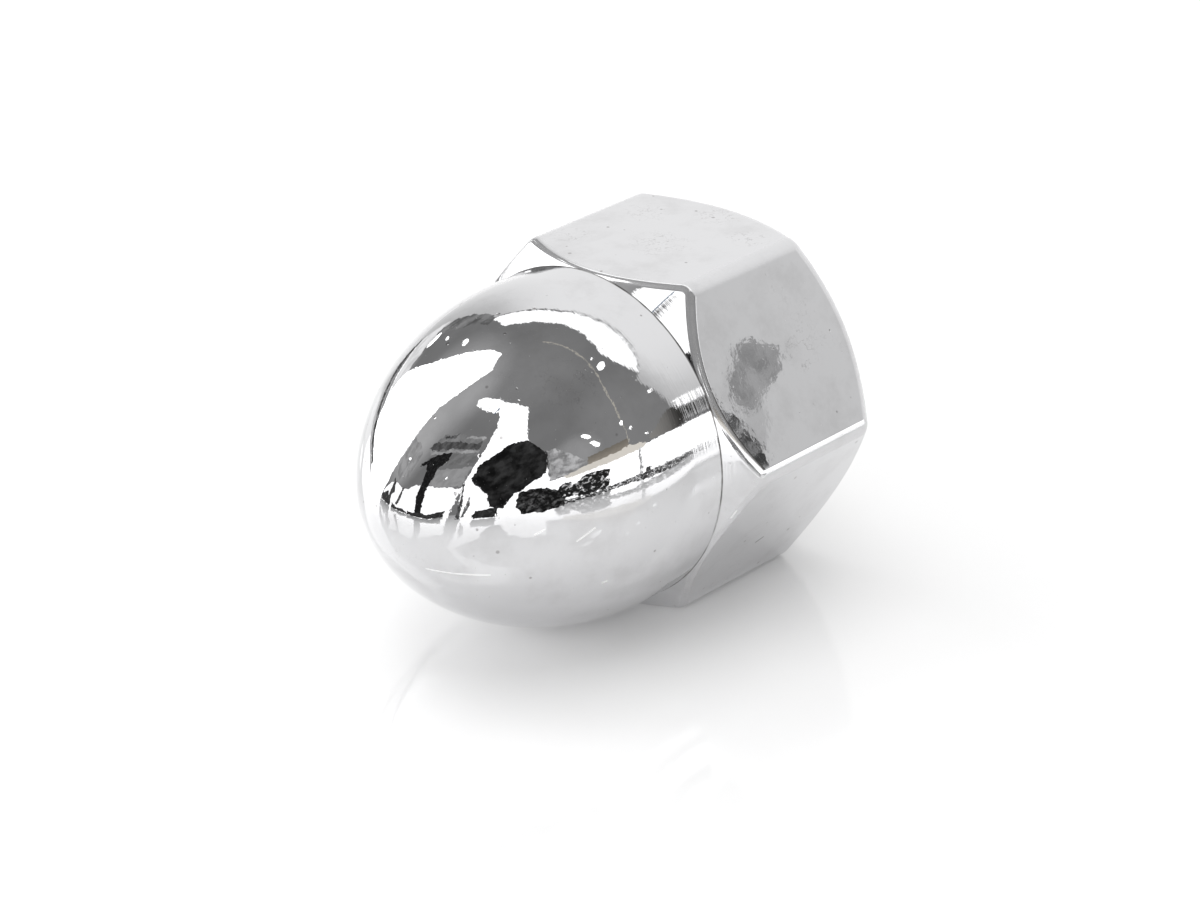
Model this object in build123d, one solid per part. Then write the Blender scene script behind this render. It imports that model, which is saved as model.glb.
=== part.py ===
from build123d import *
from math import hypot, radians, sqrt, tan
import os

# Acorn nut: a hexagon nut closed by a full-width dome, made in one piece.
# Lengths are millimetres and angles are degrees. The nut lies on one wrench flat: +X runs along
# the thread axis from the bearing face to the dome, +Z is up, and the origin is on the thread
# axis in the plane of the bearing face.

# Overall length and hexagon
LENGTH = 19.2               # bearing face to the tip of the dome
ACROSS_FLATS = 13.0         # wrench size
HEX_HEIGHT = 8.5            # bearing face to the shoulder, measured at the middle of a flat
CORNER_R = 0.75             # rounding of the six edges that run along the axis
RIM_R = 0.6                 # rounding where the flats meet the shoulder and the bearing chamfer

# Shoulder below the dome and chamfer at the bearing face, both turned as cones
SHOULDER_ANGLE = 50.0       # from a plane square to the axis
CHAMFER_ANGLE = 40.0        # from the plane of the bearing face
BEARING_INSET = 0.45        # from a flat in to the edge of the bearing face

# Dome: a short straight land, then a long body arc that runs tangent into a tighter nose arc
DOME_INSET = 0.08           # from a flat in to the straight land
LAND = 1.4                  # length of the straight land
NOSE_R = 3.0                # radius of the nose arc
ROOT_R = 0.12               # small fillet between the shoulder and the land

# Blind tapped hole, modelled at the thread's minor diameter
THREAD_D = 8.0              # nominal thread diameter
THREAD_PITCH = 1.25
DRILL_POINT = 118.0         # included angle of the hole's conical end
NOSE_WALL = 2.2             # metal left between the drill point and the tip of the dome
MOUTH_ANGLE = 120.0         # included angle of the countersunk mouth
MOUTH_OVERSIZE = 0.1        # mouth diameter beyond the nominal thread diameter

# Radii that follow from the sizes above
flat_r = ACROSS_FLATS / 2
dome_r = flat_r - DOME_INSET
bearing_r = flat_r - BEARING_INSET
mouth_r = (THREAD_D + MOUTH_OVERSIZE) / 2
# a metric internal thread with 60 degree flanks keeps 5/8 of its sharp height
bore_r = THREAD_D / 2 - 5 / 8 * sqrt(3) / 2 * THREAD_PITCH

# Slopes of the turned cones, as length along the axis for each unit of radius
shoulder_slope = tan(radians(SHOULDER_ANGLE))
chamfer_slope = tan(radians(CHAMFER_ANGLE))
mouth_slope = 1 / tan(radians(MOUTH_ANGLE / 2))
point_slope = 1 / tan(radians(DRILL_POINT / 2))

# Places along the axis
dome_base_x = HEX_HEIGHT + DOME_INSET * shoulder_slope
land_end_x = dome_base_x + LAND


def turned(*profile):
    """Solid of revolution about the thread axis, from edges drawn as (place along it, radius)."""
    return revolve(make_face(Wire(profile)), Axis.X)


def off_axis(edge):
    """Distance of an edge's middle from the thread axis."""
    middle = edge @ 0.5
    return hypot(middle.Y, middle.Z)


def hexagon_body():
    """Hexagon bar with rounded corners, turned to the chamfer and the shoulder, with soft rims."""
    section = RegularPolygon(radius=flat_r, side_count=6, major_radius=False)
    section = fillet(section.vertices(), CORNER_R)
    bar = extrude(Plane.YZ * section, amount=2 * HEX_HEIGHT)

    # the chamfer and the shoulder would meet at a ridge outside the hexagon's corners
    ridge_r = HEX_HEIGHT + flat_r * shoulder_slope + bearing_r * chamfer_slope
    ridge_r = ridge_r / (shoulder_slope + chamfer_slope)
    ridge = ((ridge_r - bearing_r) * chamfer_slope, ridge_r)
    # the shoulder runs on inside the dome, to half its radius
    front_r = dome_r / 2
    front_x = HEX_HEIGHT + (flat_r - front_r) * shoulder_slope
    envelope = turned(
        Line((0, 0), (0, bearing_r)),
        Line((0, bearing_r), ridge),
        Line(ridge, (front_x, front_r)),
        Line((front_x, front_r), (front_x, 0)),
        Line((front_x, 0), (0, 0)),
    )
    body = bar & envelope

    rims = [
        edge for edge in body.edges()
        if edge.geom_type != GeomType.LINE and off_axis(edge) > (flat_r + dome_r) / 2
    ]
    return fillet(rims, RIM_R)


def dome():
    """Land, body arc and nose arc, turned about the axis and rooted inside the hexagon."""
    nose_x = LENGTH - NOSE_R
    # tangent to the land and to the nose arc, which sets the body arc's radius and its end
    reach = nose_x - land_end_x
    body_arc_r = (reach ** 2 + dome_r ** 2 - NOSE_R ** 2) / (2 * (dome_r - NOSE_R))
    body_centre = Vector(land_end_x, dome_r - body_arc_r)
    nose_centre = Vector(nose_x, 0)
    turn = (nose_centre - body_centre).get_angle(Vector(1, 0))
    root_x = HEX_HEIGHT / 2
    return turned(
        Line((root_x, 0), (root_x, dome_r)),
        Line((root_x, dome_r), (land_end_x, dome_r)),
        CenterArc(body_centre, body_arc_r, 90, turn - 90),
        CenterArc(nose_centre, NOSE_R, turn, -turn),
        Line((LENGTH, 0), (root_x, 0)),
    )


def fillet_root(nut):
    """Small fillet all round the line where the shoulder meets the land."""
    root = [
        edge for edge in nut.edges()
        if edge.geom_type != GeomType.LINE
        and abs(off_axis(edge) - dome_r) < DOME_INSET / 2
        and abs((edge @ 0.5).X - dome_base_x) < LAND / 2
    ]
    return fillet(root, ROOT_R)


def tapped_hole():
    """Countersunk mouth, straight wall at the minor diameter and drill point, as one cutter."""
    wall_start_x = (mouth_r - bore_r) * mouth_slope
    tip_x = LENGTH - NOSE_WALL
    wall_end_x = tip_x - bore_r * point_slope
    return turned(
        Line((0, 0), (0, mouth_r)),
        Line((0, mouth_r), (wall_start_x, bore_r)),
        Line((wall_start_x, bore_r), (wall_end_x, bore_r)),
        Line((wall_end_x, bore_r), (tip_x, 0)),
        Line((tip_x, 0), (0, 0)),
    )


acorn_nut = fillet_root(hexagon_body() + dome()) - tapped_hole()
acorn_nut.label = "acorn_nut"

os.makedirs("parts", exist_ok=True)
export_step(acorn_nut, "parts/acorn_nut.step")
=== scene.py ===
import random
from math import atan2, ceil, cos, hypot, pi, radians, sin, sqrt, tan

import bmesh
import bpy
import numpy as np
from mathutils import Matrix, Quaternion, Vector

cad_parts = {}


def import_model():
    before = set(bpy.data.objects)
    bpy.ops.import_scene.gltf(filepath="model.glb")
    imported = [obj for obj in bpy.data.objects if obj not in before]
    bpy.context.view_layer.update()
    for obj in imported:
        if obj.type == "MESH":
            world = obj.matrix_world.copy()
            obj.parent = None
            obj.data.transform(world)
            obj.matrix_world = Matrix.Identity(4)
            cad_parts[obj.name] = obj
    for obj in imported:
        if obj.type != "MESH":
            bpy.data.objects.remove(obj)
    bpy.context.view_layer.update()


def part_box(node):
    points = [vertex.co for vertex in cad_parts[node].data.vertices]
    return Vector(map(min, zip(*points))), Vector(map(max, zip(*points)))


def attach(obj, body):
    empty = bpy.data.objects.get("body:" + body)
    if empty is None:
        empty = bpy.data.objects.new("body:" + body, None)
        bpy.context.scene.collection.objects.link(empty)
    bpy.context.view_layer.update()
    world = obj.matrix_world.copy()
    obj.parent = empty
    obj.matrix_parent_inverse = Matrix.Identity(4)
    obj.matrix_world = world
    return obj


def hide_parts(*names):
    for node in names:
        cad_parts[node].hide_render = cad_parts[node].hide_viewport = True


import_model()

MM = 0.001

# Sizes of the nut in millimetres, the same as in the part's source, and read from the frame
# where it has them
node_low, node_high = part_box("acorn_nut")
LENGTH = node_high.x / MM
ACROSS_FLATS = (node_high.z - node_low.z) / MM
HEX_HEIGHT = 8.5             # bearing face to the shoulder, at the middle of a flat
CORNER_R = 0.75              # rounding of the six edges along the axis
RIM_R = 0.6                  # rounding where the flats meet the shoulder and the chamfer
SHOULDER_ANGLE = radians(50)
CHAMFER_ANGLE = radians(40)
BEARING_INSET = 0.45         # from a flat in to the edge of the bearing face
DOME_INSET = 0.08            # from a flat in to the dome's straight land
LAND = 1.4                   # length of the land
NOSE_R = 3.0                 # radius of the nose arc
THREAD_D = 8.0
THREAD_PITCH = 1.25
DRILL_POINT = radians(118)   # included angle of the hole's conical end
NOSE_WALL = 2.2              # metal between the drill point and the tip of the dome
MOUTH_ANGLE = radians(120)   # included angle of the countersunk mouth
MOUTH_OVERSIZE = 0.1         # mouth diameter beyond that of the thread

# Details that only this visual model has
ROOT_R = 0.07                # fillet between shoulder and land, finer than the 0.12 of the solid
EDGE_BREAK = 0.05            # rounding of the outer edge of the bearing face
THREAD_RUNOUT = 2.0          # length over which the thread fades out at the blind end
CREST_HALF = 0.125           # half of the thread's flat crest, as a share of the pitch
ROOT_HALF = 0.0625           # half of its flat root

# Radii, slopes and places along the axis that follow from the sizes
flat_r = ACROSS_FLATS / 2
dome_r = flat_r - DOME_INSET
bearing_r = flat_r - BEARING_INSET
mouth_r = (THREAD_D + MOUTH_OVERSIZE) / 2
thread_r = THREAD_D / 2
bore_r = thread_r - 5 / 8 * sqrt(3) / 2 * THREAD_PITCH
shoulder_slope = tan(SHOULDER_ANGLE)
chamfer_slope = tan(CHAMFER_ANGLE)
dome_base_x = HEX_HEIGHT + DOME_INSET * shoulder_slope
land_end_x = dome_base_x + LAND
tip_x = LENGTH - NOSE_WALL
wall_end_x = tip_x - bore_r / tan(DRILL_POINT / 2)
thread_start_x = (mouth_r - thread_r) / tan(MOUTH_ANGLE / 2) / 2
edge_setback = EDGE_BREAK * tan(CHAMFER_ANGLE / 2)

# Density of the mesh: columns run from the bearing face to the tip, and rows run round the nut
FLAT_STEPS = 34              # columns along each flat
CORNER_STEPS = 10            # columns round each of its corners
CONE_STEPS = 6               # rows on the chamfer, and again on the shoulder
RIM_STEPS = 9                # rows across a rounded rim
FLAT_ROWS = 10
ROOT_STEPS = 5
LAND_SHARES = (0.25, 0.5, 0.75)
BODY_STEPS = 56
NOSE_STEPS = 34
LATHE_FADE_ROWS = 12         # rows over which the turning lines fade out on the dome
RING_STEPS = 4               # rings across the bearing face
POINT_SHARES = (0.02, 0.25, 0.5, 0.75)
THREAD_PHASES = (0, 0.06, 0.12, 0.15, 0.28, 0.41, 0.46, 0.5, 0.54, 0.59, 0.72, 0.85, 0.88, 0.94)


def section_stations():
    """Stations round the hexagon, as (anchor, outward). A rounding of radius r has its centre at
    anchor + (CORNER_R - r) * outward, in the plane across the axis, as (y, z)."""
    stations = []
    side_half = (flat_r - CORNER_R) * tan(pi / 6)
    corner_reach = (flat_r - CORNER_R) / cos(pi / 6)
    for side in range(6):
        turn = side * pi / 3
        outward = np.array([sin(turn), cos(turn)])
        along = np.array([cos(turn), -sin(turn)])
        for step in range(FLAT_STEPS):
            offset = side_half * (2 * step / FLAT_STEPS - 1)
            stations.append((outward * (flat_r - CORNER_R) + along * offset, outward))
        corner = turn + pi / 6
        anchor = corner_reach * np.array([sin(corner), cos(corner)])
        for step in range(CORNER_STEPS):
            swing = corner + pi / 3 * (step / CORNER_STEPS - 0.5)
            stations.append((anchor, np.array([sin(swing), cos(swing)])))
    return stations


def swept(start, end, share):
    """Unit direction that is a share of the way round from one unit direction to another."""
    angle = np.arccos(np.clip(start @ end, -1, 1))
    if angle < 1e-9:
        return start
    return (np.sin((1 - share) * angle) * start + np.sin(share * angle) * end) / np.sin(angle)


def off_axis(point):
    """Distance of a point from the thread axis."""
    return hypot(point[1], point[2])


def rim_ball(station, slope, angle, side):
    """Centre and two end directions of the ball that rounds the flats into a turned cone."""
    anchor, outward = station
    centre_yz = anchor + (CORNER_R - RIM_R) * outward
    reach = hypot(*centre_yz)
    if side == "shoulder":
        x = HEX_HEIGHT + (flat_r - reach) * slope - RIM_R / cos(angle)
        lean = cos(angle)
    else:
        x = (reach - bearing_r) * slope + RIM_R / cos(angle)
        lean = -cos(angle)
    radial = centre_yz / reach
    to_flat = np.array([0, *outward])
    to_cone = np.array([lean, *(sin(angle) * radial)])
    return np.array([x, *centre_yz]), to_flat, to_cone


def outer_column(station):
    """Points and normals of one column, from the bearing face's edge to the tip of the dome."""
    points, normals = [], []

    def add(point, normal):
        points.append(point)
        normals.append(normal)

    # chamfer and the rounding up to the flat
    ball, to_flat, to_cone = rim_ball(station, chamfer_slope, CHAMFER_ANGLE, "chamfer")
    foot = ball + RIM_R * to_cone
    direction = np.array([0, *(foot[1:] / off_axis(foot))])
    edge_x = edge_setback * sin(CHAMFER_ANGLE)
    edge_r = bearing_r + edge_setback * cos(CHAMFER_ANGLE)
    for step in range(CONE_STEPS):
        share = step / CONE_STEPS
        x = edge_x + share * (foot[0] - edge_x)
        r = edge_r + share * (off_axis(foot) - edge_r)
        add(np.array([x, 0, 0]) + r * direction, to_cone)
    for step in range(RIM_STEPS):
        normal = swept(to_cone, to_flat, step / RIM_STEPS)
        add(ball + RIM_R * normal, normal)
    flat_start = ball + RIM_R * to_flat

    # flat, then the rounding on to the shoulder and the root at the dome
    ball, to_flat, to_cone = rim_ball(station, shoulder_slope, SHOULDER_ANGLE, "shoulder")
    flat_end = ball + RIM_R * to_flat
    for step in range(FLAT_ROWS):
        add(flat_start + step / FLAT_ROWS * (flat_end - flat_start), to_flat)
    rounded, cone_end = root_reach(ball, to_flat, to_cone)
    for step in range(RIM_STEPS + 1):
        normal = swept(to_flat, to_cone, rounded * step / RIM_STEPS)
        add(ball + RIM_R * normal, normal)
    last, normal = points[-1], normals[-1]
    for step in range(1, CONE_STEPS + 1):
        add(last + step / CONE_STEPS * (cone_end - last), normal)
    root = points[-1] + ROOT_R * normal
    radial = np.array([0, *(root[1:] / off_axis(root))])
    for step in range(1, ROOT_STEPS + 1):
        inward = swept(-normal, -radial, step / ROOT_STEPS)
        add(root + ROOT_R * inward, -inward)

    # land, body arc and nose arc, all turned about the axis
    azimuth = atan2(radial[1], radial[2])
    for x, r, lean in dome_profile(root[0]):
        normal = np.array([sin(lean), cos(lean) * sin(azimuth), cos(lean) * cos(azimuth)])
        add(np.array([x, r * sin(azimuth), r * cos(azimuth)]), normal)
    return points, normals


def root_reach(ball, to_flat, to_cone):
    """Share of the rim's rounding that shows, and the point on the cone where the root fillet
    starts. In the middle of a flat the root meets the rounding itself."""
    root_centre_r = dome_r + ROOT_R
    cone_foot = ball + RIM_R * to_cone
    if off_axis(cone_foot + ROOT_R * to_cone) > root_centre_r:
        foot_r = off_axis(cone_foot)
        end_r = root_centre_r - ROOT_R * sin(SHOULDER_ANGLE)
        radial = np.array([0, *(cone_foot[1:] / foot_r)])
        end = cone_foot + (end_r - foot_r) * radial
        end[0] += (foot_r - end_r) * shoulder_slope
        return 1.0, end
    low, high = 0.0, 1.0
    for _ in range(40):
        share = (low + high) / 2
        normal = swept(to_flat, to_cone, share)
        if off_axis(ball + (RIM_R + ROOT_R) * normal) > root_centre_r:
            low = share
        else:
            high = share
    return share, ball + RIM_R * swept(to_flat, to_cone, share)


def dome_profile(start_x):
    """Land, body arc and nose arc as (x, radius, lean of the normal towards the tip)."""
    nose_x = LENGTH - NOSE_R
    reach = nose_x - land_end_x
    body_arc_r = (reach ** 2 + dome_r ** 2 - NOSE_R ** 2) / (2 * (dome_r - NOSE_R))
    body_centre_r = dome_r - body_arc_r
    join = atan2(reach, -body_centre_r)
    rows = [(start_x + share * (land_end_x - start_x), dome_r, 0.0) for share in LAND_SHARES]
    for step in range(BODY_STEPS):
        lean = join * step / BODY_STEPS
        rows.append((land_end_x + body_arc_r * sin(lean), body_centre_r + body_arc_r * cos(lean), lean))
    for step in range(NOSE_STEPS):
        lean = join + (pi / 2 - join) * step / NOSE_STEPS
        rows.append((nose_x + NOSE_R * sin(lean), NOSE_R * cos(lean), lean))
    return rows


def inner_column(azimuth):
    """Rows of one column inside as (x, radius), from the drill point along the thread to the
    bearing face. The thread is right-handed: its rows slide along by a pitch for each turn."""
    rows = [(tip_x - share * (tip_x - wall_end_x), bore_r * share) for share in POINT_SHARES]
    turns = ceil(wall_end_x / THREAD_PITCH) + 1
    for turn in range(turns, -2, -1):
        for phase in reversed(THREAD_PHASES):
            x = (turn + phase + azimuth / (2 * pi)) * THREAD_PITCH
            x = min(max(x, thread_start_x), wall_end_x)
            rows.append((x, threaded_radius(x, phase)))
    return rows


def threaded_radius(x, phase):
    """Radius of the hole at a place and a phase of the thread, with mouth and runout."""
    away = abs(phase - 0.5)
    depth = min(max((0.5 - CREST_HALF - away) / (0.5 - CREST_HALF - ROOT_HALF), 0.0), 1.0)
    fade = min(max((wall_end_x - x) / THREAD_RUNOUT, 0.0), 1.0)
    radius = bore_r + depth * fade * (thread_r - bore_r)
    mouth = mouth_r - x * tan(MOUTH_ANGLE / 2)
    return max(radius, mouth)


def ramp(step, count):
    """1 between two ends of a run of steps, and 0 at the ends and outside them."""
    return min(max(min(step, count - step) / 2, 0.0), 1.0)


def finish_marks(row, place):
    """How much of the edges' duller finish and of the turning lines a point has, from its row
    along a column and the column's place round the nut."""
    chamfer_end = CONE_STEPS
    flat_start = chamfer_end + RIM_STEPS
    flat_end = flat_start + FLAT_ROWS
    shoulder_start = flat_end + RIM_STEPS + 1
    land_end = shoulder_start + CONE_STEPS + ROOT_STEPS + len(LAND_SHARES)
    if row < chamfer_end:
        return 0.0, 1.0
    if row >= shoulder_start:
        return 0.0, min(max(1 - (row - land_end) / LATHE_FADE_ROWS, 0.0), 1.0)
    round_corner = place % (FLAT_STEPS + CORNER_STEPS) - FLAT_STEPS
    edge = max(ramp(round_corner, CORNER_STEPS), ramp(row - chamfer_end, RIM_STEPS),
               ramp(row - flat_end, RIM_STEPS))
    return edge, 0.0


class Skin:
    """The nut's mesh while it is made. A column is a list of vertex numbers. Columns outside the
    nut come with their exact normals, and those inside it are left to smooth shading."""

    def __init__(self):
        self.verts, self.faces, self.normals = [], [], []
        self.finishes = []                     # material of each face: 0 plated, 1 tapped
        self.marks = {}

    def vert(self, point):
        """Adds a point in millimetres and gives its number."""
        self.verts.append([part * MM for part in point])
        return len(self.verts) - 1

    def stitch(self, left, right, left_normals=None, right_normals=None):
        """Faces between two columns, without those that have no area."""
        for row in range(len(left) - 1):
            corners = [(left, left_normals, row), (left, left_normals, row + 1),
                       (right, right_normals, row + 1), (right, right_normals, row)]
            face, normals = [], []
            for column, column_normals, k in corners:
                if column[k] not in face:
                    face.append(column[k])
                    normals.append(column_normals[k] if column_normals else (0, 0, 0))
            if len(face) > 2:
                self.faces.append(face)
                self.normals.extend(normals)
                self.finishes.append(0 if left_normals else 1)

    def close_thread(self, left, right):
        """Joins the last column inside to the first, where the same helix is one pitch on."""
        head = 1 + len(POINT_SHARES)
        turn = len(THREAD_PHASES)
        lead = left[head:head + turn + 1]
        self.stitch(left[:head], right[:head])
        self.stitch(lead, [right[head]] * len(lead))
        self.stitch(left[head - 1:head + 1], right[head - 1:head + 1])
        self.stitch(left[head + turn:] + [left[-1]] * turn, right[head:])

    def outside(self, place, station, tip):
        """Column and normals from the chamfer to the tip."""
        points, normals = outer_column(station)
        column = []
        for row, point in enumerate(points):
            if column and np.linalg.norm(np.array(self.verts[column[-1]]) / MM - point) < 1e-5:
                column.append(column[-1])
            else:
                column.append(self.vert(point))
                self.marks[column[-1]] = finish_marks(row, place)
        return column + [tip], [tuple(normal) for normal in normals] + [(1.0, 0.0, 0.0)]

    def inside(self, azimuth, drill_tip):
        """Column from the drill point to the countersunk mouth."""
        column = [drill_tip]
        last = None
        for x, r in inner_column(azimuth):
            if last is not None and hypot(x - last[0], r - last[1]) < 1e-6:
                column.append(column[-1])
            else:
                column.append(self.vert((x, r * sin(azimuth), r * cos(azimuth))))
            last = (x, r)
        return column

    def across(self, inner_end, outer_start):
        """Column and normals over the flat bearing face, out to the chamfer's broken edge."""
        start = self.verts[outer_start]
        azimuth = atan2(start[1], start[2])
        around = np.array([0, sin(azimuth), cos(azimuth)])
        column = [inner_end]
        for step in range(RING_STEPS + 1):
            r = mouth_r + step / RING_STEPS * (bearing_r - edge_setback - mouth_r)
            column.append(self.vert(r * around))
        normals = [(-1, 0, 0)] * len(column)
        return column + [outer_start], normals + [(-cos(CHAMFER_ANGLE), *(sin(CHAMFER_ANGLE) * around[1:]))]


def build_nut():
    """One closed mesh: thread, bearing face, hexagon and dome."""
    skin = Skin()
    stations = section_stations()
    count = len(stations)
    tip = skin.vert((LENGTH, 0, 0))
    drill_tip = skin.vert((tip_x, 0, 0))
    outer, inner, azimuths = [], [], []
    for place, station in enumerate(stations):
        column, normals = skin.outside(place, station, tip)
        outer.append((column, normals))
        # the thread's seam lies where the azimuth starts again at 0
        rim = skin.verts[column[-2]]
        azimuths.append(atan2(rim[1], rim[2]) % (2 * pi))
        inner.append(skin.inside(azimuths[-1], drill_tip))

    seam = min(range(count), key=lambda k: azimuths[k])
    order = [(seam + k) % count for k in range(count)]
    pairs = list(zip(order, order[1:] + order[:1]))
    for a, b in pairs:
        skin.stitch(outer[a][0], outer[b][0], outer[a][1], outer[b][1])
        if b == seam:
            skin.close_thread(inner[a], inner[b])
        else:
            skin.stitch(inner[a], inner[b])
    ring = [skin.across(inner[k][-1], outer[k][0][0]) for k in range(count)]
    for a, b in pairs:
        skin.stitch(ring[a][0], ring[b][0], ring[a][1], ring[b][1])

    mesh = bpy.data.meshes.new("polished_nut")
    mesh.from_pydata(skin.verts, [], skin.faces)
    mesh.polygons.foreach_set("use_smooth", [True] * len(skin.faces))
    mesh.polygons.foreach_set("material_index", skin.finishes)
    for index, name in enumerate(("edge", "turned")):
        layer = mesh.attributes.new(name, "FLOAT", "POINT")
        amounts = [skin.marks.get(vert, (0.0, 0.0))[index] for vert in range(len(skin.verts))]
        layer.data.foreach_set("value", amounts)
    mesh.normals_split_custom_set(skin.normals)
    return mesh


class Graph:
    """Short way to write a material's nodes. Inputs may be numbers, vectors or node outputs."""

    def __init__(self, material):
        material.use_nodes = True
        self.nodes, self.links = material.node_tree.nodes, material.node_tree.links

    def feed(self, socket, value):
        if isinstance(value, bpy.types.NodeSocket):
            self.links.new(value, socket)
        else:
            socket.default_value = value

    def node(self, kind, **inputs):
        """New node with the named inputs fed."""
        made = self.nodes.new(kind)
        for name, value in inputs.items():
            self.feed(made.inputs[name], value)
        return made

    def place(self):
        return self.nodes.new("ShaderNodeTexCoord").outputs["Object"]

    def mark(self, name):
        """Number that the mesh holds at each of its points."""
        made = self.nodes.new("ShaderNodeAttribute")
        made.attribute_name = name
        return made.outputs["Fac"]

    def math(self, operation, *values):
        made = self.nodes.new("ShaderNodeMath")
        made.operation = operation
        for socket, value in zip(made.inputs, values):
            self.feed(socket, value)
        return made.outputs["Value"]

    def total(self, *values):
        result = values[0]
        for value in values[1:]:
            result = self.math("ADD", result, value)
        return result

    def most(self, *values):
        result = values[0]
        for value in values[1:]:
            result = self.math("MAXIMUM", result, value)
        return result

    def vector(self, operation, *values):
        made = self.nodes.new("ShaderNodeVectorMath")
        made.operation = operation
        for socket, value in zip(made.inputs, values):
            self.feed(socket, value)
        return made.outputs["Value" if operation in ("DOT_PRODUCT", "DISTANCE") else "Vector"]

    def step(self, value, low, high, start=0.0, end=1.0):
        """Smooth step of a value: start below low, end above high."""
        spans = {"Value": value, "From Min": low, "From Max": high, "To Min": start, "To Max": end}
        made = self.node("ShaderNodeMapRange", **spans)
        made.interpolation_type = "SMOOTHSTEP"
        return made.outputs["Result"]

    def noise(self, where, scale, detail=2.0, roughness=0.5):
        return self.node("ShaderNodeTexNoise", Vector=where, Scale=scale, Detail=detail,
                         Roughness=roughness).outputs["Fac"]

    def lines(self, along, scale, detail=3.0):
        """Noise of one number only, which draws lines square to it."""
        made = self.node("ShaderNodeTexNoise", Scale=scale, Detail=detail)
        made.noise_dimensions = "1D"
        self.feed(made.inputs["W"], along)
        return made.outputs["Fac"]

    def dots(self, where, scale, least, most):
        """Scattered round dots of mixed sizes, given as shares of the distance between them."""
        made = self.node("ShaderNodeTexVoronoi", Vector=where, Scale=scale)
        size = self.vector("DOT_PRODUCT", made.outputs["Color"], (most - least, 0, 0))
        share = self.math("DIVIDE", made.outputs["Distance"], self.math("ADD", size, least))
        return self.step(share, 0.45, 1.0, 1.0, 0.0)

    def scratch(self, where, start, end, width):
        """1 on a straight scratch between two points in millimetres, and 0 beside it."""
        start, run = Vector(start) * MM, (Vector(end) - Vector(start)) * MM
        offset = self.vector("SUBTRACT", where, start)
        share = self.math("DIVIDE", self.vector("DOT_PRODUCT", offset, run), run.length_squared)
        share = self.math("MINIMUM", self.math("MAXIMUM", share, 0.0), 1.0)
        gap = self.vector("DISTANCE", offset, self.vector("MULTIPLY", share, run))
        return self.step(gap, 0.0, width * MM, 1.0, 0.0)

    def near(self, where, point, radius):
        """1 round a point in millimetres, fading to 0 at a radius."""
        gap = self.vector("DISTANCE", where, Vector(point) * MM)
        return self.step(gap, 0.4 * radius * MM, radius * MM, 1.0, 0.0)

    def blend(self, share, start, end):
        """Colour that goes from start to end."""
        made = self.nodes.new("ShaderNodeMix")
        made.data_type = "RGBA"
        # a colour mix has its own sockets behind those for numbers and vectors
        for number, value in ((0, share), (6, start), (7, end)):
            self.feed(made.inputs[number], value)
        return made.outputs[2]

    def bump(self, height, unit):
        """Normal of a surface with the given height, in a unit of so many metres."""
        return self.node("ShaderNodeBump", Distance=unit, Height=height).outputs["Normal"]


# Colours of the surfaces
PLATING = (0.69, 0.69, 0.7, 1)
DRIED_DIRT = (0.37, 0.36, 0.36, 1)
# dirt in the dark scratches, and painted shade in the root crease
SCRATCH_DIRT_AND_CREASE_SHADE = (0.12, 0.115, 0.11, 1)
CUT_METAL = (0.66, 0.65, 0.63, 1)
STAINED_METAL = (0.5, 0.48, 0.45, 1)
PURE_WHITE = (1, 1, 1, 1)
MICROMETRE = 1e-6

# Marks of handling, in millimetres: smears as (middle, radius), scratches as (start, end, width)
SMEARS = [((4.9, 0.35, 6.5), 1.6), ((1.1, 0.1, 6.5), 1.3), ((2.7, -2.0, 6.5), 1.2),
          ((6.4, -2.6, 6.5), 1.0), ((2.2, 2.4, 6.5), 1.1), ((5.4, 4.1, -5.8), 1.2),
          ((3.2, 5.6, 3.2), 1.0), ((13.6, 3.4, 4.6), 1.4)]
# real scratches, with their glint painted in as white colour
GLINT_PAINTED_SCRATCHES = [((18.58, 1.2, -1.42), (18.08, 2.05, -1.52), 0.05),
                    ((18.08, 2.05, -1.52), (17.3, 3.04, -1.54), 0.06),
                    ((15.03, 5.1, -0.38), (14.44, 5.41, 0.02), 0.05),
                    ((16.31, 4.26, 0.06), (16.05, 4.45, 0.22), 0.06),
                    ((13.7, 5.17, -2.48), (13.58, 5.24, -2.44), 0.07),
                    ((8.22, 6.57, -1.48), (8.1, 6.72, -1.2), 0.05)]
DARK_SCRATCHES = [((4.77, 5.09, -4.19), (4.42, 5.15, -4.09), 0.07),
                  ((11.9, 4.9, -3.6), (12.2, 4.7, -3.7), 0.04),
                  ((6.1, 6.3, 1.9), (6.3, 6.2, 2.1), 0.05),
                  ((3.5, 6.7, 1.3), (3.6, 6.6, 1.5), 0.05)]


def smear_film(graph, place):
    """Dried smears: thin curved lines and small spots, mostly near a few places."""
    smear = graph.most(*[graph.near(place, point, radius) for point, radius in SMEARS])
    stray = graph.step(graph.noise(place, 260), 0.56, 0.68, 0.0, 0.45)
    level = graph.math("SUBTRACT", graph.noise(place, 1500, 3.0, 0.6), 0.5)
    curl = graph.step(graph.math("ABSOLUTE", level), 0.0, 0.014, 1.0, 0.0)
    blot = graph.step(graph.noise(place, 3200, 4.0, 0.7), 0.58, 0.66)
    return graph.math("MULTIPLY", graph.most(smear, stray), graph.most(curl, blot))


def root_crease_shade(graph, place, along):
    """Painted shade: an uneven darker line in the root crease between the shoulder and the dome."""
    radius = graph.vector("DISTANCE", place, graph.vector("MULTIPLY", place, (1, 0, 0)))
    gaps = [graph.math("ABSOLUTE", graph.math("SUBTRACT", value, middle * MM))
            for value, middle in ((along, dome_base_x), (radius, dome_r))]
    line = graph.step(graph.total(*gaps), 0.012 * MM, ROOT_R * MM, 1.0, 0.0)
    patchy = graph.step(graph.noise(place, 700, 3.0, 0.6), 0.35, 0.6, 0.35, 0.95)
    return graph.math("MULTIPLY", line, patchy)


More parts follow.
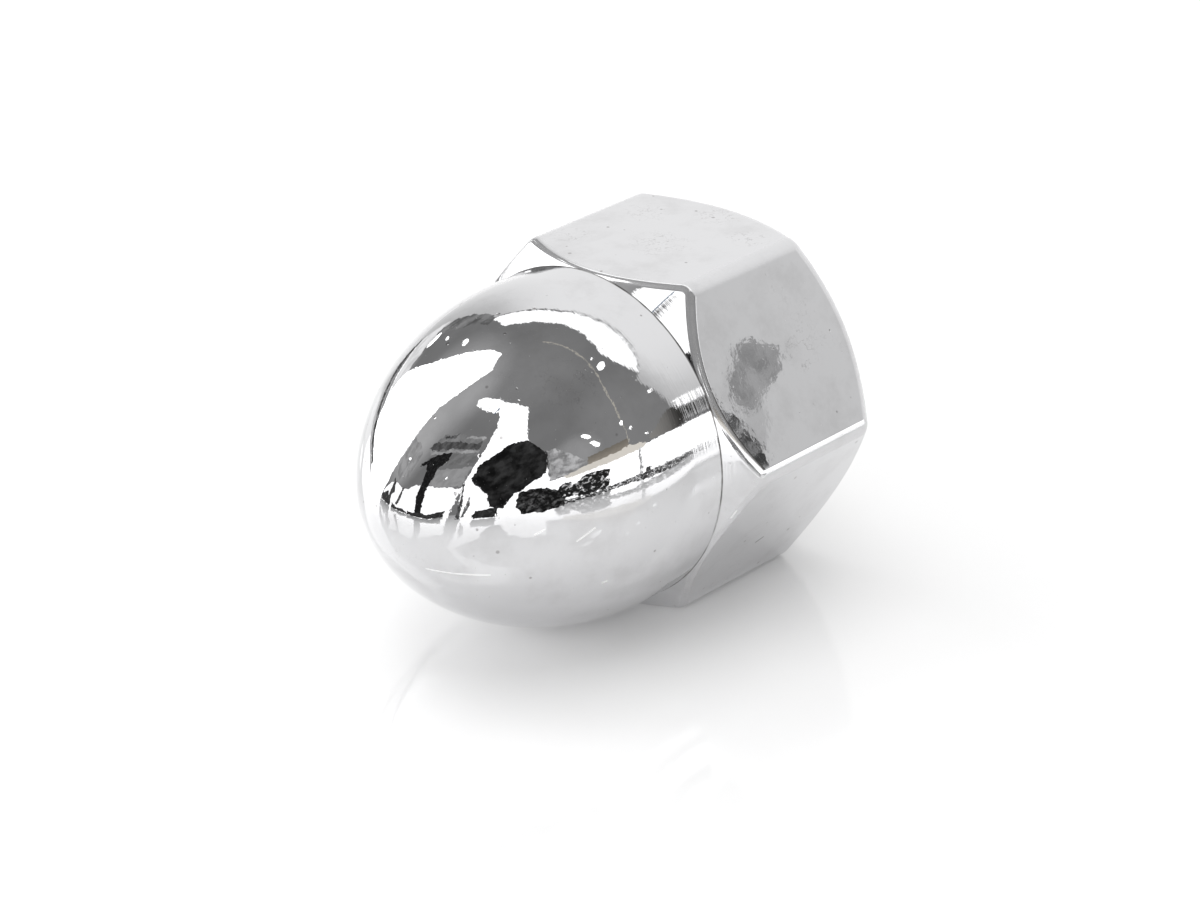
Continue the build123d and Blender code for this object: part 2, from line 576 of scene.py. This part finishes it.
def chrome_relief(graph, place, along, pits):
    """Height of the plating in micrometres: orange peel, stronger on the dome, with grain, turning
    lines and pits."""
    on_dome = graph.step(along, (HEX_HEIGHT + 0.2) * MM, (HEX_HEIGHT + 1.2) * MM)
    peel = graph.math("MULTIPLY", graph.noise(place, 2200, 1.0), graph.step(on_dome, 0.0, 1.0, 0.5, 1.7))
    grain = graph.math("MULTIPLY", graph.noise(place, 9000, 1.0), graph.step(on_dome, 0.0, 1.0, 0.12, 0.6))
    turned = graph.math("MULTIPLY", graph.mark("turned"), 1.3)
    lathe = graph.math("MULTIPLY", graph.lines(along, 13000), turned)
    return graph.total(peel, grain, lathe, graph.math("MULTIPLY", pits, -2.2))


def chrome_material():
    """Bright plating on a polished nut, with dirt and scratches, a painted glint on the bright scratches,
    painted shade in the root crease, and duller on its rounded edges.
    """
    material = bpy.data.materials.new("chrome_plating")
    graph = Graph(material)
    shader = graph.nodes["Principled BSDF"]
    place = graph.place()
    along = graph.vector("DOT_PRODUCT", place, (1, 0, 0))
    edge = graph.mark("edge")
    film = smear_film(graph, place)
    pits = graph.dots(place, 1150, 0.03, 0.13)
    specks = graph.dots(place, 3600, 0.0, 0.11)
    bright = graph.most(*[graph.scratch(place, *line) for line in GLINT_PAINTED_SCRATCHES])
    dark = graph.most(*[graph.scratch(place, *line) for line in DARK_SCRATCHES])

    veil = graph.step(graph.noise(place, 480, 4.0, 0.65), 0.45, 0.72, 0.0, 0.2)
    dirt = graph.most(graph.math("MULTIPLY", film, 0.42), graph.math("MULTIPLY", pits, 0.9),
                      graph.math("MULTIPLY", specks, 0.3), veil)
    colour = graph.blend(dirt, PLATING, DRIED_DIRT)
    # dirt in the dark scratches, and painted shade darkening the root crease
    colour = graph.blend(graph.most(dark, root_crease_shade(graph, place, along)), colour, SCRATCH_DIRT_AND_CREASE_SHADE)
    # painted glint: the bright scratches are coloured pure white
    graph.feed(shader.inputs["Base Color"], graph.blend(bright, colour, PURE_WHITE))
    graph.feed(shader.inputs["Metallic"], graph.step(edge, 0.0, 1.0, 1.0, 0.8))

    cloud = graph.step(graph.noise(place, 350), 0.35, 0.7, 0.014, 0.028)
    rough = graph.total(cloud, graph.math("MULTIPLY", film, 0.16), graph.math("MULTIPLY", edge, 0.07),
                        graph.math("MULTIPLY", graph.most(bright, specks), 0.35))
    graph.feed(shader.inputs["Roughness"], rough)
    relief = chrome_relief(graph, place, along, pits)
    graph.feed(shader.inputs["Normal"], graph.bump(relief, MICROMETRE))
    return material


def thread_material():
    """Bare cut metal of the thread and the drilled end, duller than the plating outside."""
    material = bpy.data.materials.new("tapped_metal")
    graph = Graph(material)
    shader = graph.nodes["Principled BSDF"]
    place = graph.place()
    along = graph.vector("DOT_PRODUCT", place, (1, 0, 0))
    stain = graph.step(graph.noise(place, 700, 5.0, 0.65), 0.45, 0.7)
    relief = graph.total(graph.lines(along, 9000), graph.noise(place, 6000))
    shader.inputs["Metallic"].default_value = 1
    graph.feed(shader.inputs["Base Color"], graph.blend(stain, CUT_METAL, STAINED_METAL))
    graph.feed(shader.inputs["Roughness"], graph.step(stain, 0.0, 1.0, 0.26, 0.42))
    graph.feed(shader.inputs["Normal"], graph.bump(relief, 2 * MICROMETRE))
    return material


# Studio: every card is placed by the direction in which the nut sees it, in degrees, with azimuth
# measured from +X towards +Y and elevation from the horizon. Tones are radiances, and 1 is white.
STUDIO_CENTRE = Vector((LENGTH / 2 * MM, 0, 0))
FLOOR_Z = node_low.z
FLOOR_REACH = 1.2            # half of the floor's side, in metres
FLOOR_TONE = 0.88
FLOOR_LIFT = 0.09            # added to the floor where it is seen, so that it reads as white
GLARE = 2.4                  # softbox, small lamps and glints
WHITE = 1.5                  # windows at the back and on the left
ROOM = 0.235                 # ceiling and far walls, before the pools of light
CARD_GAIN = 1.1              # brightens all cards, to balance the plating's reflectance
LAMP_ROUND = 0.18            # light that comes evenly from all sides
FRAY_STEP = 1.6              # length of the short steps along an uneven edge, in degrees


def towards(azimuth, elevation):
    """Unit vector in a direction given in degrees."""
    a, e = radians(azimuth), radians(elevation)
    return Vector((cos(a) * cos(e), sin(a) * cos(e), sin(e)))


def glow(name, tone, tint=(1, 1, 1)):
    """Even light of the given tone. Returns the material and its emission shader."""
    material = bpy.data.materials.new(name)
    graph = Graph(material)
    graph.nodes.clear()
    shader = graph.node("ShaderNodeEmission", Color=(*tint, 1), Strength=tone)
    graph.node("ShaderNodeOutputMaterial", Surface=shader.outputs["Emission"])
    return material, shader


def shade(made, axis, span, stops):
    """Lets the tone of a card change along an axis, from stops of (share of the span, tone)."""
    material, shader = made
    graph = Graph(material)
    along = graph.vector("DOT_PRODUCT", graph.place(), axis)
    share = graph.node("ShaderNodeMapRange", **{"From Min": span[0], "From Max": span[1], "Value": along})
    ramp = graph.node("ShaderNodeFloatCurve", Value=share.outputs["Result"])
    curve = ramp.mapping.curves[0]
    top = max(tone for _, tone in stops)
    curve.points[0].location = (stops[0][0], stops[0][1] / top)
    curve.points[1].location = (stops[-1][0], stops[-1][1] / top)
    for position, tone in stops[1:-1]:
        curve.points.new(position, tone / top)
    ramp.mapping.update()
    graph.feed(shader.inputs["Strength"], graph.math("MULTIPLY", ramp.outputs["Value"], top))


def mottle(made, dark, light, scale, sharp=0.05, middle=0.5, detail=3.0):
    """Breaks a card up into irregular dark and light bits."""
    material, shader = made
    graph = Graph(material)
    level = graph.noise(graph.place(), scale, detail, 0.6)
    graph.feed(shader.inputs["Strength"], graph.step(level, middle - sharp, middle + sharp, dark, light))


def frayed(outline, amount, seed):
    """Outline with uneven edges: short steps, each moved by up to an amount in degrees."""
    chance = random.Random(seed)
    points = []
    for (azimuth, elevation), (next_azimuth, next_elevation) in zip(outline, outline[1:] + outline[:1]):
        across, up = next_azimuth - azimuth, next_elevation - elevation
        steps = max(1, round(hypot(across * cos(radians(elevation)), up) / FRAY_STEP))
        for step in range(steps):
            points.append((azimuth + across * step / steps + chance.uniform(-amount, amount),
                           elevation + up * step / steps + chance.uniform(-amount, amount)))
    return points


def card(name, tone, outline, facing=None, distance=0.4, tint=(1, 1, 1), fray=0.0, curved=False, lamp=False):
    """Glowing card whose corners the nut sees in the listed (azimuth, elevation) directions. It is
    flat, or all its corners are at the same distance. It shows only in reflections, or as a lamp
    it only gives light."""
    if fray:
        outline = frayed(outline, fray, name)
    sheet = bmesh.new()
    sheet.faces.new([sheet.verts.new((*corner, 0)) for corner in outline])
    if curved:
        bmesh.ops.triangulate(sheet, faces=sheet.faces[:])
        bmesh.ops.subdivide_edges(sheet, edges=sheet.edges[:], cuts=7, use_grid_fill=True)
    rays = [towards(vert.co.x, vert.co.y) for vert in sheet.verts]
    normal = towards(*facing) if facing else sum(rays, Vector()).normalized()
    for vert, ray in zip(sheet.verts, rays):
        vert.co = STUDIO_CENTRE + ray * (distance if curved else distance / ray.dot(normal))
    made = glow(name, tone, tint if lamp else [CARD_GAIN * part for part in tint])
    hang(name, sheet, made[0], lamp)
    return made


def hang(name, sheet, material, lamp=False):
    """Places a part of the studio that the camera doesn't see and that casts no shadow."""
    mesh = bpy.data.meshes.new(name)
    sheet.to_mesh(mesh)
    sheet.free()
    mesh.materials.append(material)
    piece = bpy.data.objects.new(name, mesh)
    bpy.context.scene.collection.objects.link(piece)
    piece.visible_camera = False
    piece.visible_shadow = False
    piece.visible_diffuse = lamp
    piece.visible_glossy = not lamp
    if not lamp:
        material.cycles.emission_sampling = "NONE"


def shell(radius, subdivisions):
    """Hollow ball round the studio."""
    ball = bmesh.new()
    bmesh.ops.create_icosphere(ball, subdivisions=subdivisions, radius=radius)
    return ball


def oval(azimuth, elevation, half_width, half_height, lean=0, count=16):
    """Outline of an ellipse in directions, for a card; lean turns it clockwise, in degrees."""
    turn = radians(lean)
    outline = []
    for step in range(count):
        angle = 2 * pi * step / count
        across, up = half_width * cos(angle), half_height * sin(angle)
        outline.append((azimuth + (across * cos(turn) + up * sin(turn)) / cos(radians(elevation)),
                        elevation - across * sin(turn) + up * cos(turn)))
    return outline


def room():
    """Grey ceiling and walls all round, paler in a few wide pools of light."""
    material, shader = glow("room", ROOM)
    graph = Graph(material)
    place = graph.place()
    heading = graph.vector("NORMALIZE", place)
    # azimuth, elevation, half width in degrees, and how much paler
    pools = [(-62, 48, 36, 0.26), (-45, 34, 22, 0.1), (20, 86, 30, 0.05), (-34, 68, 12, 0.05),
             (110, 30, 34, 0.05), (80, 26, 13, 0.14), (-104, 6, 10, 0.14)]
    tones = []
    for azimuth, elevation, spread, amount in pools:
        nearness = graph.vector("DOT_PRODUCT", heading, towards(azimuth, elevation))
        tones.append(graph.step(nearness, cos(radians(spread)), 1.0, 0.0, amount))
    haze = graph.step(graph.noise(place, 4, 2.0), 0.2, 0.8, -0.012, 0.012)
    graph.feed(shader.inputs["Strength"], graph.total(ROOM, haze, *tones))
    hang("room", shell(radius=1.0, subdivisions=4), material)


def lamps():
    """Large soft lamps, which light the floor and all that isn't mirror-bright."""
    card("lamp_left", 2.25, [(-94, -1), (-58.5, -1), (-59, 45), (-62, 73), (-103.5, 66.5), (-97, 50)],
         distance=0.35, lamp=True)
    card("lamp_front", 1.3, [(25.5, -1), (56, -1), (55.5, 67), (40, 71), (24, 72.5), (25, 66)],
         facing=(7, 20), distance=0.42, lamp=True)
    card("lamp_back", 1.05, [(165, -1), (245, -1), (244, 50), (215, 52), (190, 53), (165, 52)],
         facing=(190, 0), distance=0.35, lamp=True)
    card("lamp_low", 4.3, [(-60, -1), (27, -1), (26, 21), (0, 28.5), (-30, 31.5), (-60, 26)],
         facing=(-15, 0), distance=0.5, lamp=True)
    card("lamp_top", 1.97, [(azimuth, 62) for azimuth in range(0, 360, 20)], facing=(0, 90), lamp=True)
    hang("lamp_round", shell(radius=1.1, subdivisions=2), glow("lamp_round", LAMP_ROUND)[0], lamp=True)


def bright_cards():
    """Softboxes, windows and pale walls as the nut mirrors them."""
    card("softbox_left", GLARE,
         [(-96.5, -2), (-98.5, 1), (-101.2, 5), (-101.4, 10), (-99.8, 16), (-97.4, 21), (-94.5, 30),
          (-92.8, 40), (-93.2, 51), (-95.5, 62), (-94, 70), (-66, 72), (-57, 66), (-53, 58), (-53.5, 49),
          (-51.5, 41), (-50.5, 33), (-51.5, 26), (-54, 20), (-55, 12), (-56, -6)],
         distance=0.15, curved=True, fray=0.25)
    distance = 0.35
    wall = card("backdrop", 1,
                [(143.5, -1), (245, -1), (243.3, 38), (230, 45.5), (214.8, 51), (195.2, 52.4),
                 (178.8, 51.5), (162.8, 49), (147.3, 45), (137.5, 42.5), (133, 42.5), (134.3, 12.5),
                 (138.5, 9.6), (143.5, 8.6)],
                facing=(190, 0), distance=distance, fray=0.2)
    reach = distance * tan(radians(56))
    shade(wall, towards(280, 0), (-reach, reach),
          [(0.0, 0.61), (0.09, 0.69), (0.24, 0.93), (0.5, 0.985), (0.72, 0.965), (0.9, 0.645), (1.0, 0.52)])
    card("back_window", WHITE,
         [(138.7, 43.2), (147.3, 46), (162.8, 50), (178.8, 52.5), (195.2, 53.4), (214.8, 52),
          (230, 46.7), (241, 40), (243.3, 40), (243, 50.4), (236.3, 54.5), (221, 59.4), (199, 62.8),
          (170.9, 63.7), (151.9, 61.6), (141.4, 54.7), (139, 44)],
         facing=(190, 0), distance=0.34, fray=0.35)
    card("front_window", 1.7,
         [(-13.4, 63.4), (-19, 66), (-13.7, 68.1), (8, 69.7), (37.4, 66.8), (49.8, 63.3), (51.3, 53.3),
          (52, 44), (62, 30), (64.5, 14), (64.5, -1), (60, -3), (56, -5.5), (31, -5.5), (28.5, 4),
          (27, 12), (24.5, 21), (24.8, 31), (25, 36), (26.5, 44.3), (26.5, 54.1), (23.5, 60),
          (20, 62.8), (6, 63.2)],
         distance=0.075, curved=True, fray=0.25)
    card("blue_gap", 0.2,
         [(14.6, 62.4), (15.9, 62), (16.3, 63.2), (17.4, 64), (17, 65.2), (15.6, 64.4), (15.2, 63.2)],
         distance=0.074, curved=True, tint=(0.3, 0.6, 1))
    card("right_window", 1.8,
         [(52, -1), (143.5, -1), (143.5, 8.6), (138, 9), (134.6, 9.6), (127, 11.6), (119, 13.2),
          (111, 13.8), (95, 15), (85, 15), (74, 13.6), (52, 12)],
         facing=(95, 0), distance=0.5, fray=0.2)
    card("cream_wall", 0.85,
         [(73, 14), (84.5, 17), (105, 17.8), (112.5, 14.6), (112, 13), (95, 13), (84, 13), (74, 12)],
         distance=0.49, tint=(1, 0.95, 0.86), fray=0.2)
    card("far_window", WHITE, [(-119, 1), (-95, 1), (-95, 9), (-119, 9)], distance=0.6)
    card("left_window", WHITE,
         [(-56, -1), (27, -1), (26, 21), (18, 24.4), (5, 27.5), (-12, 30), (-28, 24), (-43, 24.5),
          (-50, 20), (-56, 8)],
         facing=(-15, 0), distance=0.5, fray=0.4)


def dark_cards():
    """Black cloth in front of the window, and cases, posts and table edges in front of the pale
    walls."""
    cloth = card("black_cloth", 0.02,
                 [(52.4, 42.1), (47.9, 43.3), (40.2, 42.6), (36.9, 39.9), (29.7, 35.7), (27.8, 32.5),
                  (27.8, 29.7), (26.8, 26.3), (28.5, 23.6), (33.8, 17.5), (38.1, 13), (39.5, 6.5),
                  (40.6, 3.5), (43.7, 0.9), (46, 1.1), (47.1, 4.4), (49.4, 10.5), (52.3, 11.3),
                  (56.5, 15.5), (60, 17.4), (62, 19.8), (62.5, 25.8), (63.1, 30.9), (59.4, 36.6)],
                 distance=0.068, curved=True, fray=0.35)
    mottle(cloth, 0.008, 0.05, 160, sharp=0.2, middle=0.55)
    cases = card("cases", 0.03,
                 [(47.5, 10.6), (53.2, 11.6), (59.2, 10.2), (63.7, 7), (65.7, 2.6), (65.8, -2.4),
                  (57.9, -3.9), (49.3, -3), (47, 3)],
                 distance=0.03, curved=True, fray=0.5)
    mottle(cases, 0.01, 0.16, 900, sharp=0.16, middle=0.6)
    shelf = card("shelf", 0.05,
                 [(71, 9), (74.5, 9.6), (76, 7.5), (79, 8), (80.5, 10.8), (87, 11.4), (91.5, 10.8),
                  (92.9, 8), (90.5, 5.5), (92, 3), (91.7, -1), (83, -1), (77, -1), (70, -1), (69, 5)],
                 distance=0.28, fray=0.7)
    mottle(shelf, 0.02, 1.0, 120, sharp=0.05, middle=0.58, detail=4)
    table_edge()
    edge = card("left_edge", 0.1,
                [(-84, -0.8), (-92, -0.9), (-100, -0.6), (-106, -0.4), (-111, 0.6), (-113.5, 3.5),
                 (-115.8, 3), (-113, -3.6), (-104, -3.6), (-90, -3.4), (-84, -3)],
                distance=0.11, fray=0.3)
    mottle(edge, 0.06, 0.5, 500, sharp=0.1, middle=0.58)
    uprights()


def table_edge():
    """Dark edge of a table in front of the window on the right."""
    line = [(69.5, -2), (77.6, -2.5), (86, -1.8), (97, -0.9), (102, -1.0), (108.7, -1.6),
            (116.3, -2.0), (124.4, -2.6), (133, -3.1)]
    half_heights = (1.4, 1.2, 1.4, 1.5, 1.7, 2.0, 2.0, 1.7)
    for step, (start, end, half) in enumerate(zip(line, line[1:], half_heights)):
        outline = [(start[0], start[1] - half), (end[0], end[1] - half),
                   (end[0], end[1] + half), (start[0], start[1] + half)]
        piece = card(f"table_edge_{step}", 0.1, outline, distance=0.09, fray=0.3)
        mottle(piece, 0.06, 1.2, 700, sharp=0.06, middle=0.55, detail=4)


def uprights():
    """Posts, low bars and wires, as (name, tone, distance, fray, outline)."""
    pieces = [
        ("post_right", 0.62, 0.27, 0.12,
         [(107.3, 13.6), (109.2, 14), (108, 6), (107.3, -2.6), (105.8, -2.6), (106.6, 6)]),
        ("small_box", 0.1, 0.27, 0.4, [(108.5, -2), (111.5, -2), (111.3, 1.4), (109.2, 2), (109, 0.2)]),
        ("post_left", 0.02, 0.3, 0.4,
         [(-23.2, 37.2), (-12.8, 43), (0.1, 45.2), (2.7, 41), (-2.5, 37.4), (0.2, 31.9), (0.8, 27.7),
          (8, 14.8), (6, 2), (-1.5, 3), (-1.2, 13.3), (-5, 26.6), (-12.4, 35.4), (-16, 38), (-22.4, 36.4)]),
        ("low_bar_left", 0.05, 0.28, 0.4,
         [(-12, -1.2), (24, -1.2), (24, 4.8), (14, 3.6), (6, 5.2), (-3, 3), (-11, 3.5)]),
        ("low_bar_far", 0.07, 0.28, 0.4,
         [(-36, -1.2), (-12, -1.2), (-12, 1.5), (-20, 3), (-27, 1.5), (-36, 3.7)]),
        ("low_bar_end", 0.07, 0.28, 0.4,
         [(-55, -1.2), (-40, -1.2), (-39, 4), (-44, 5), (-47, 11), (-55, 4)]),
        ("post_far_left", 0.09, 0.28, 0.4,
         [(-47, 0), (-39, 0), (-40.5, 10), (-37, 15), (-43.3, 24), (-47, 23), (-44, 12)]),
        ("post_middle", 0.12, 0.28, 0.4,
         [(-31, 4), (-27.5, 4), (-24.5, 15), (-25.5, 26), (-28.5, 24), (-28, 15)]),
        ("low_case", 0.04, 0.07, 0.4, [(34.5, -5), (35, 1.4), (39, 1.8), (43.5, 1.5), (44, -5)]),
        ("wire_1", 0.1, 0.072, 0.12,
         [(24.2, 23.5), (25.4, 23), (28.4, 12.2), (29.6, 4.5), (29.6, -4), (28.4, -4), (27.3, 12)]),
        ("wire_2", 0.2, 0.072, 0.12,
         [(30.2, 13), (31, 12.8), (32.2, 6.6), (31.4, -3), (30.6, -3), (30.6, 6)]),
    ]
    for name, tone, distance, fray, outline in pieces:
        piece = card(name, tone, outline, distance=distance, curved=distance < 0.1, fray=fray)
        mottle(piece, tone * 0.6, tone * 2.2, 60 / distance, sharp=0.12, middle=0.58)


def ceiling():
    """Beams, ledges and walls far off, seen faintly in the grey of the dome, as (name, dark tone,
    light tone, outline)."""
    beams = [
        ("beam_1", 0.06, 0.14,
         [(-27, 43), (-26, 46), (-7, 50.5), (19, 49.7), (21.5, 50.8), (23, 46.2), (0, 46.9), (-15, 45)]),
        ("beam_2", 0.05, 0.16, [(-22, 50), (-7, 53.6), (-5, 52), (-14, 50.2)]),
        ("beam_3", 0.22, 0.3, [(-22, 50.5), (-7, 53.8), (22, 52.6), (24, 50.4), (-5, 50.6), (-24, 46.4)]),
        ("ledge_1", 0.36, 0.5, [(-5, 52.4), (8, 53.2), (23, 52.3), (23, 51.3), (8, 52.2), (-5, 51.6)]),
        ("ledge_2", 0.32, 0.46, [(-24, 43), (-2, 46.4), (24, 45.8), (24, 44.3), (0, 45), (-22, 41.6)]),
        ("beam_4", 0.17, 0.26, [(-20, 41), (0, 44.5), (24.5, 43.6), (25, 38), (2, 38.6), (-18, 37)]),
        ("panel", 0.33, 0.4, [(-4, 36.6), (23.6, 36), (25.6, 23), (16, 25), (1, 28.5)]),
        ("band_far_left", 0.3, 0.46, [(-51, 24), (-51, 38), (-40, 40), (-30, 40), (-28, 31), (-40, 26)]),
        ("gap_pale", 0.75, 1.0, [(-117, 2), (-103, 2), (-101.5, 11), (-107, 13), (-117, 12)]),
        ("slope_wall", 0.26, 0.62,
         [(66, 33.5), (69, 34), (78, 26.4), (84.5, 18), (80, 16), (74, 14), (67, 14)]),
        ("gap_dark", 0.12, 0.3,
         [(-114, 42), (-111.3, 28), (-111.3, 16), (-113, 13), (-117, 14), (-118, 40)]),
    ]
    for name, dark, light, outline in beams:
        piece = card(name, dark, outline, distance=0.44, fray=0.45)
        mottle(piece, dark, light, 34, sharp=0.16)
    brown = card("brown_wall", 0.24, [(84.6, 21.4), (96, 21.8), (105, 21.5), (104.7, 17.6), (84.2, 16.8)],
                 distance=0.43, tint=(1, 0.9, 0.76), fray=0.15)
    shade(brown, (0, 0, 1), (0.125, 0.175), [(0.0, 0.36), (0.5, 0.24), (1.0, 0.17)])
    wedge = card("wedge_right", 0.2,
                 [(115, 15.2), (120, 13.4), (131, 10.8), (136, 11.5), (137.5, 14.4), (137.6, 16.2),
                  (136.6, 17.4), (134.4, 20), (131, 21.6), (126, 21), (121, 19), (116, 17.2)],
                 distance=0.33, tint=(1, 0.97, 0.92), fray=0.2)
    shade(wedge, (-1, 0, 0), (0.125, 0.235), [(0.0, 0.3), (0.45, 0.2), (0.8, 0.05), (1.0, 0.03)])


def flat_patches():
    """Small things before the backdrop that the flat on the right shows large."""
    patch = card("patch_right", 0.34,
                 [(138.25, 16.15), (138.9, 16.35), (139.35, 16.4), (139.65, 16.75), (139.45, 17.05),
                  (139.35, 17.35), (139, 17.45), (138.7, 17.2), (138.3, 17), (138.05, 16.5)],
                 distance=0.3)
    mottle(patch, 0.26, 0.45, 400, sharp=0.15)
    card("patch_low", 0.56,
         [(137.5, 15.1), (137.9, 15.4), (138.5, 16), (138.7, 16.4), (138.1, 16.4), (137.9, 16)],
         distance=0.301)
    band = card("rim_dark", 0.1,
                [(136.8, 14.4), (137.75, 15.2), (137.88, 15.8), (137.9, 16.3), (137.8, 16.7),
                 (137.85, 17.1), (137.6, 17.2), (137, 16.4)],
                distance=0.298)
    mottle(band, 0.06, 0.5, 900, sharp=0.14, middle=0.56)


def rail():
    """Thin pale rail that rises on the right and runs over the back."""
    line = [(105, 19), (105.8, 26), (107, 35), (109.5, 42), (112, 48), (116, 53.5), (120, 57), (130, 63),
            (142, 67.5), (160, 71.5), (185, 73.5), (215, 73)]
    width = 0.5
    for step, (start, end) in enumerate(zip(line, line[1:])):
        lying = abs(end[0] - start[0]) * cos(radians(end[1])) > abs(end[1] - start[1])
        if lying:
            outline = [start, end, (end[0], end[1] + width), (start[0], start[1] + width)]
        else:
            outline = [start, end, (end[0] + width / cos(radians(end[1])), end[1]),
                       (start[0] + width / cos(radians(start[1])), start[1])]
        card(f"rail_{step}", 0.5, outline, distance=0.43, tint=(1, 0.95, 0.84))


def spots():
    """Small bright lamps and glints."""
    outlines = {
        "front_1": oval(86.8, 33.4, 1.2, 2.6, lean=-40),
        "front_2": oval(89.6, 27.2, 1.5, 2.8, lean=-35),
        "shelf": oval(76.3, 5.8, 0.9, 1.3, lean=25),
        "shelf_small": oval(84.5, 4.2, 0.5, 0.5),
        "cloth": oval(50, 46, 0.5, 0.7),
        "rail_1": oval(106, 31, 0.6, 1.2, lean=20),
        "rail_2": oval(109, 26, 0.8, 0.8),
        "rail_3": oval(114.5, 18.5, 0.7, 0.7),
        "wall": oval(131, 34, 1.2, 0.6, lean=-20),
        "high": oval(134, 60, 2.6, 1.7),
        "high_far": oval(142, 65, 0.8, 0.4),
        "edge": [(136, 17.9), (137.2, 17.7), (138.1, 19.2), (139, 20.6), (139.4, 21.6), (138, 21.4),
                 (136.8, 20)],
        "edge_low": oval(136.3, 21.6, 0.5, 0.4),
        "left_1": oval(-102, 41.5, 1.3, 2.2, lean=40),
        "left_2": oval(-110, 15, 2.4, 1.7),
        "left_3": oval(-107, 25.5, 0.5, 1.4, lean=30),
        "nose_1": oval(-41.5, 33.3, 1.8, 0.6, lean=-20),
        "nose_2": oval(11, 31, 0.8, 0.6),
    }
    for name, outline in outlines.items():
        card(f"spot_{name}", GLARE, outline, distance=0.3)


def seen(graph):
    """1 for what the camera sees, straight or in metal or glass, and 0 for other light."""
    path = graph.nodes.new("ShaderNodeLightPath")
    return graph.most(*[path.outputs[f"Is {ray} Ray"] for ray in ("Camera", "Glossy", "Transmission")])


def floor():
    """Pale glossy floor, lifted to white where the camera, metal or glass shows it."""
    mesh = bpy.data.meshes.new("floor")
    corners = [(-1, -1), (1, -1), (1, 1), (-1, 1)]
    mesh.from_pydata([(x * FLOOR_REACH, y * FLOOR_REACH, FLOOR_Z) for x, y in corners], [], [[0, 1, 2, 3]])
    ground = bpy.data.objects.new("floor", mesh)
    bpy.context.scene.collection.objects.link(ground)
    material = bpy.data.materials.new("floor_acrylic")
    graph = Graph(material)
    shader = graph.nodes["Principled BSDF"]
    shader.inputs["Base Color"].default_value = (FLOOR_TONE, FLOOR_TONE, FLOOR_TONE, 1)
    shader.inputs["Roughness"].default_value = 0.06
    shader.inputs["Specular IOR Level"].default_value = 0.6
    shader.inputs["Emission Color"].default_value = PURE_WHITE
    graph.feed(shader.inputs["Emission Strength"], graph.math("MULTIPLY", seen(graph), FLOOR_LIFT))
    mesh.materials.append(material)


def world():
    """White where the camera, a reflection or clear glass looks past the studio."""
    surroundings = bpy.data.worlds.new("studio")
    bpy.context.scene.world = surroundings
    graph = Graph(surroundings)
    background = graph.nodes["Background"]
    background.inputs["Color"].default_value = PURE_WHITE
    graph.feed(background.inputs["Strength"], graph.step(seen(graph), 0.0, 1.0, ROOM, 1.0))


# Camera, fitted to the outline of the nut in the photograph
CAMERA_PLACE = Vector((109.04, 85.07, 60.03)) * MM
CAMERA_AIM = Vector((4.289, -2.927, -3.039)) * MM
CAMERA_ROLL = radians(0.627)
LENS_MM = 118.02
SENSOR_MM = 36


def camera():
    """Camera at the photograph's viewing angle, all in focus."""
    data = bpy.data.cameras.new("camera")
    data.lens = LENS_MM
    data.sensor_width = SENSOR_MM
    data.clip_start = 0.005
    data.clip_end = 10
    eye = bpy.data.objects.new("camera", data)
    bpy.context.scene.collection.objects.link(eye)
    look = (CAMERA_AIM - CAMERA_PLACE).normalized()
    eye.rotation_mode = "QUATERNION"
    eye.location = CAMERA_PLACE
    eye.rotation_quaternion = look.to_track_quat("-Z", "Y") @ Quaternion((0, 0, 1), CAMERA_ROLL)
    bpy.context.scene.camera = eye


bpy.context.scene.view_settings.view_transform = "Standard"
mesh = build_nut()
mesh.materials.append(chrome_material())
mesh.materials.append(thread_material())
nut = bpy.data.objects.new("polished_nut", mesh)
bpy.context.scene.collection.objects.link(nut)
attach(nut, "root")
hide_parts("acorn_nut")
for build in (room, lamps, bright_cards, dark_cards, ceiling, flat_patches, rail, spots, floor, world,
              camera):
    build()
